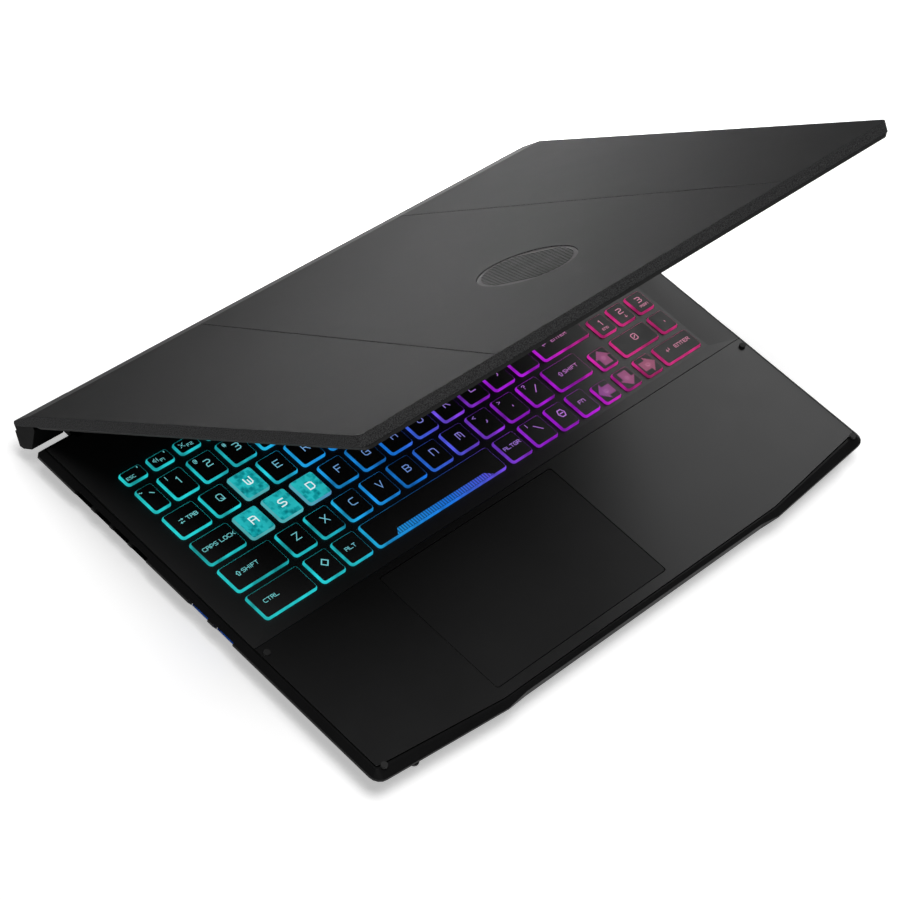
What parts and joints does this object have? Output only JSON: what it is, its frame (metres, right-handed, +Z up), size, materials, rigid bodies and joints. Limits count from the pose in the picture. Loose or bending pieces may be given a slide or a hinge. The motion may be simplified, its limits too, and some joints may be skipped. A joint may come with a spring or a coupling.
{
  "type": "laptop computer",
  "caption": "Notebook computer with a drop-hinge lid half open over an island keyboard with number pad, wide palm rest and touchpad.",
  "frame": {"origin": "middle of the bounding box in plan, at the plane of the feet, with the lid at its half-open rest angle", "axes": "+Z up, +X to the user's right, -Y towards the user"},
  "size_m": [0.359, 0.2618, 0.1919],
  "materials": {
    "base_shell": "fine textured satin",
    "deck": "satin, fine grain",
    "touchpad": "smooth satin",
    "steel_plate": "stamped",
    "silicone": "translucent milky",
    "circuit_board": "solder mask",
    "chip": "polished die on laminate",
    "battery_wrap": "matte film",
    "copper": "drawn copper",
    "black_plastic": "moulded, fine texture",
    "aluminium_fins": "thin fins",
    "rubber": "matte",
    "screw_steel": "black zinc",
    "port_metal": "stamped tin plate",
    "blue_plastic": "moulded",
    "lid_shell": "smooth satin paint",
    "badge": "ribbed",
    "bezel": "fine matte",
    "screen": "anti-glare",
    "keycap": "soft-touch top, glowing skirt and legend",
    "clear_keycap": "translucent, lit from below"
  },
  "bodies": {
    "base": {"bottom_cover": "base_shell", "keyboard_deck": "deck", "palm_rest": "deck", "keyboard_plate": "steel_plate", "dome_sheet": "silicone", "motherboard": "circuit_board", "processor": "chip", "graphics_chip": "chip", "memory_modules": "circuit_board", "storage_drive": "circuit_board", "wireless_card": "circuit_board", "battery": "battery_wrap", "heat_pipes": "copper", "left_fan_housing": "black_plastic", "right_fan_housing": "black_plastic", "left_heatsink": "aluminium_fins", "right_heatsink": "aluminium_fins", "left_speaker": "black_plastic", "right_speaker": "black_plastic", "rubber_feet": "rubber", "bottom_screws": "screw_steel", "lid_bumpers": "rubber", "left_usb_shells": "port_metal", "left_usb_tongues": "blue_plastic", "right_usb_port": "port_metal", "usb_c_port": "port_metal", "audio_jack": "black_plastic", "display_port": "port_metal", "network_jack": "black_plastic", "power_inlet": "black_plastic", "left_hinge_knuckle": "black_plastic", "right_hinge_knuckle": "black_plastic"},
    "lid": {"lid_cover": "lid_shell", "hinge_cover": "black_plastic", "lid_badge": "badge", "display_bezel": "bezel", "display_panel": "screen", "webcam_module": "black_plastic", "wireless_antennas": "circuit_board", "left_hinge_arm": "steel_plate", "right_hinge_arm": "steel_plate"},
    "touchpad_plate": {"touchpad": "touchpad"},
    "left_fan": {"left_fan_rotor": "black_plastic"},
    "right_fan": {"right_fan_rotor": "black_plastic"},
    "key_w": {"key_w_cap": "clear_keycap"},
    "key_a": {"key_a_cap": "clear_keycap"},
    "key_s": {"key_s_cap": "clear_keycap"},
    "key_d": {"key_d_cap": "clear_keycap"},
    "space_key": {"space_bar": "keycap"},
    "up_arrow": {"up_arrow_key": "keycap"},
    "down_arrow": {"down_arrow_key": "keycap"},
    "left_arrow": {"left_arrow_key": "keycap"},
    "right_arrow": {"right_arrow_key": "keycap"},
    "function_keys": {"function_row_keys": "keycap"},
    "number_keys": {"number_row_keys": "keycap"},
    "upper_keys": {"upper_row_keys": "keycap"},
    "home_keys": {"home_row_keys": "keycap"},
    "lower_keys": {"lower_row_keys": "keycap"},
    "bottom_keys": {"bottom_row_keys": "keycap"},
    "pad_keys": {"number_pad_keys": "keycap"}
  },
  "joints": [
    {"name": "lid_hinge", "type": "hinge", "parent": "base", "child": "lid", "pos_m": [0, 0.12575, 0.0157], "axis": [-1, 0, 0], "range_deg": [-40.4, 99.6]},
    {"name": "touchpad_click", "type": "hinge", "parent": "base", "child": "touchpad_plate", "pos_m": [0, -0.04135, 0.01655], "axis": [1, 0, 0], "range_deg": [0, 0.3], "stiffness_Nm_per_rad": 8, "springref_deg": -0.46},
    {"name": "left_fan_spin", "type": "hinge", "parent": "base", "child": "left_fan", "pos_m": [-0.112, 0.05845, 0.0067], "axis": [0, 0, 1], "continuous": true},
    {"name": "right_fan_spin", "type": "hinge", "parent": "base", "child": "right_fan", "pos_m": [0.112, 0.05845, 0.0067], "axis": [0, 0, 1], "continuous": true},
    {"name": "key_w_press", "type": "slide", "parent": "base", "child": "key_w", "axis": [0, 0, -1], "range_m": [0, 0.0013], "stiffness_N_per_m": 250, "springref_m": -0.001},
    {"name": "key_a_press", "type": "slide", "parent": "base", "child": "key_a", "axis": [0, 0, -1], "range_m": [0, 0.0013], "stiffness_N_per_m": 250, "springref_m": -0.001},
    {"name": "key_s_press", "type": "slide", "parent": "base", "child": "key_s", "axis": [0, 0, -1], "range_m": [0, 0.0013], "stiffness_N_per_m": 250, "springref_m": -0.001},
    {"name": "key_d_press", "type": "slide", "parent": "base", "child": "key_d", "axis": [0, 0, -1], "range_m": [0, 0.0013], "stiffness_N_per_m": 250, "springref_m": -0.001},
    {"name": "space_key_press", "type": "slide", "parent": "base", "child": "space_key", "axis": [0, 0, -1], "range_m": [0, 0.0013], "stiffness_N_per_m": 250, "springref_m": -0.001},
    {"name": "up_arrow_press", "type": "slide", "parent": "base", "child": "up_arrow", "axis": [0, 0, -1], "range_m": [0, 0.0013], "stiffness_N_per_m": 250, "springref_m": -0.001},
    {"name": "down_arrow_press", "type": "slide", "parent": "base", "child": "down_arrow", "axis": [0, 0, -1], "range_m": [0, 0.0013], "stiffness_N_per_m": 250, "springref_m": -0.001},
    {"name": "left_arrow_press", "type": "slide", "parent": "base", "child": "left_arrow", "axis": [0, 0, -1], "range_m": [0, 0.0013], "stiffness_N_per_m": 250, "springref_m": -0.001},
    {"name": "right_arrow_press", "type": "slide", "parent": "base", "child": "right_arrow", "axis": [0, 0, -1], "range_m": [0, 0.0013], "stiffness_N_per_m": 250, "springref_m": -0.001},
    {"name": "function_keys_press", "type": "slide", "parent": "base", "child": "function_keys", "axis": [0, 0, -1], "range_m": [0, 0.0013], "stiffness_N_per_m": 4750, "springref_m": -0.001},
    {"name": "number_keys_press", "type": "slide", "parent": "base", "child": "number_keys", "axis": [0, 0, -1], "range_m": [0, 0.0013], "stiffness_N_per_m": 3500, "springref_m": -0.001},
    {"name": "upper_keys_press", "type": "slide", "parent": "base", "child": "upper_keys", "axis": [0, 0, -1], "range_m": [0, 0.0013], "stiffness_N_per_m": 3250, "springref_m": -0.001},
    {"name": "home_keys_press", "type": "slide", "parent": "base", "child": "home_keys", "axis": [0, 0, -1], "range_m": [0, 0.0013], "stiffness_N_per_m": 2500, "springref_m": -0.001},
    {"name": "lower_keys_press", "type": "slide", "parent": "base", "child": "lower_keys", "axis": [0, 0, -1], "range_m": [0, 0.0013], "stiffness_N_per_m": 3000, "springref_m": -0.001},
    {"name": "bottom_keys_press", "type": "slide", "parent": "base", "child": "bottom_keys", "axis": [0, 0, -1], "range_m": [0, 0.0013], "stiffness_N_per_m": 1750, "springref_m": -0.001},
    {"name": "pad_keys_press", "type": "slide", "parent": "base", "child": "pad_keys", "axis": [0, 0, -1], "range_m": [0, 0.0013], "stiffness_N_per_m": 3750, "springref_m": -0.001}
  ]
}
